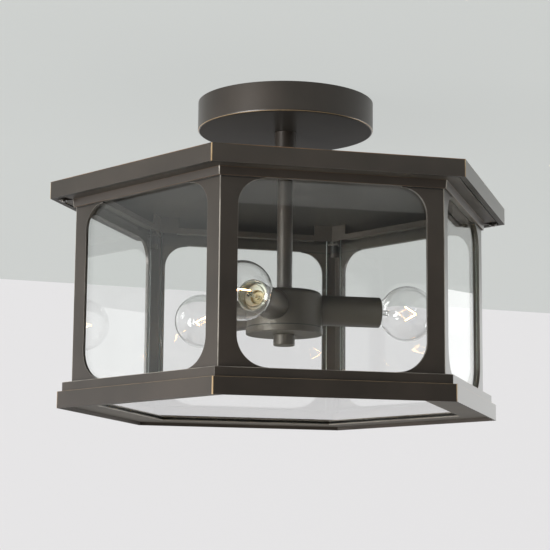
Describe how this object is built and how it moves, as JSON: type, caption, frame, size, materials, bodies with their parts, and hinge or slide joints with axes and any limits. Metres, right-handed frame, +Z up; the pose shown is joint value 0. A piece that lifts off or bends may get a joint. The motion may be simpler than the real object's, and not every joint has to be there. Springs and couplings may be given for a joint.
{
  "type": "porch ceiling lantern",
  "caption": "Semi-flush six-sided porch lantern: clear glass panes in a bronze-finished cage under a low roof, hung on a short stem, with globe lamps on a central hub.",
  "frame": {"origin": "centre of the mounting strap's top face, in the ceiling plane, on the lantern's vertical axis", "axes": "+Z up into the ceiling; -Y faces the wide front pane; +X points at one corner of the six-sided cage and runs along the strap's screw slots"},
  "size_m": [0.41, 0.355, 0.2742],
  "materials": {
    "oil_rubbed_bronze": "satin oil-rubbed bronze powder coat, lighter copper-brown where the edges are rubbed",
    "zinc_plated_steel": "satin zinc plate",
    "green_ground_screw": "green dyed zinc",
    "clear_sheet_glass": "clear polished, pale green at the edges",
    "blown_lamp_glass": "clear blown glass",
    "moulded_lampholder": "moulded, satin",
    "brass": "drawn, plain",
    "filament_mount": "pressed glass stem with wire leads and a glowing filament"
  },
  "bodies": {
    "fixture": {"canopy": "oil_rubbed_bronze", "crossbar": "zinc_plated_steel", "ground_screw": "green_ground_screw", "threaded_rod": "zinc_plated_steel", "lock_nuts": "zinc_plated_steel", "stem_collar": "oil_rubbed_bronze", "roof": "oil_rubbed_bronze", "roof_studs": "zinc_plated_steel", "stud_nuts": "zinc_plated_steel", "corner_brackets": "oil_rubbed_bronze", "frieze_ring": "oil_rubbed_bronze", "vent_ring": "oil_rubbed_bronze", "post_1": "oil_rubbed_bronze", "post_2": "oil_rubbed_bronze", "post_3": "oil_rubbed_bronze", "post_4": "oil_rubbed_bronze", "post_5": "oil_rubbed_bronze", "post_6": "oil_rubbed_bronze", "upper_post_screws": "zinc_plated_steel", "lower_post_screws": "zinc_plated_steel", "glass_pane_1": "clear_sheet_glass", "glass_pane_2": "clear_sheet_glass", "glass_pane_3": "clear_sheet_glass", "glass_pane_4": "clear_sheet_glass", "glass_pane_5": "clear_sheet_glass", "glass_pane_6": "clear_sheet_glass", "base_ring": "oil_rubbed_bronze", "base_floor": "oil_rubbed_bronze", "glass_tray": "oil_rubbed_bronze", "bottom_glass": "clear_sheet_glass", "stem_tube": "oil_rubbed_bronze", "hub_cup": "oil_rubbed_bronze", "hub_cover": "oil_rubbed_bronze", "finial": "oil_rubbed_bronze", "arm_nipples": "zinc_plated_steel", "nipple_nuts": "zinc_plated_steel", "socket_cup_1": "oil_rubbed_bronze", "socket_cup_2": "oil_rubbed_bronze", "socket_cup_3": "oil_rubbed_bronze", "lampholder_1": "moulded_lampholder", "lampholder_2": "moulded_lampholder", "lampholder_3": "moulded_lampholder", "screw_shell_1": "brass", "screw_shell_2": "brass", "screw_shell_3": "brass", "holder_contacts": "brass"},
    "lamp_tip_1": {"bulb_contact_1": "brass"},
    "lamp_tip_2": {"bulb_contact_2": "brass"},
    "lamp_tip_3": {"bulb_contact_3": "brass"},
    "lamp_1": {"bulb_glass_1": "blown_lamp_glass", "bulb_cap_1": "brass", "filament_mount_1": "filament_mount"},
    "lamp_2": {"bulb_glass_2": "blown_lamp_glass", "bulb_cap_2": "brass", "filament_mount_2": "filament_mount"},
    "lamp_3": {"bulb_glass_3": "blown_lamp_glass", "bulb_cap_3": "brass", "filament_mount_3": "filament_mount"}
  },
  "joints": [
    {"name": "lamp_1_travel", "type": "slide", "parent": "fixture", "child": "lamp_tip_1", "axis": [0.9994, -0.0349, 0], "range_m": [0, 0.01143]},
    {"name": "lamp_1_turn", "type": "hinge", "parent": "lamp_tip_1", "child": "lamp_1", "pos_m": [0.11043, -0.00386, -0.183], "axis": [0.9994, -0.0349, 0], "range_deg": [0, 1620]},
    {"name": "lamp_2_travel", "type": "slide", "parent": "fixture", "child": "lamp_tip_2", "axis": [-0.4695, 0.8829, 0], "range_m": [0, 0.01143]},
    {"name": "lamp_2_turn", "type": "hinge", "parent": "lamp_tip_2", "child": "lamp_2", "pos_m": [-0.05188, 0.09757, -0.183], "axis": [-0.4695, 0.8829, 0], "range_deg": [0, 1620]},
    {"name": "lamp_3_travel", "type": "slide", "parent": "fixture", "child": "lamp_tip_3", "axis": [-0.5299, -0.848, 0], "range_m": [0, 0.01143]},
    {"name": "lamp_3_turn", "type": "hinge", "parent": "lamp_tip_3", "child": "lamp_3", "pos_m": [-0.05856, -0.09371, -0.183], "axis": [-0.5299, -0.848, 0], "range_deg": [0, 1620]}
  ],
  "couplings": [
    {"joint": "lamp_1_turn", "follows": "lamp_1_travel", "rad_per_m": 2473.7},
    {"joint": "lamp_2_turn", "follows": "lamp_2_travel", "rad_per_m": 2473.7},
    {"joint": "lamp_3_turn", "follows": "lamp_3_travel", "rad_per_m": 2473.7}
  ]
}
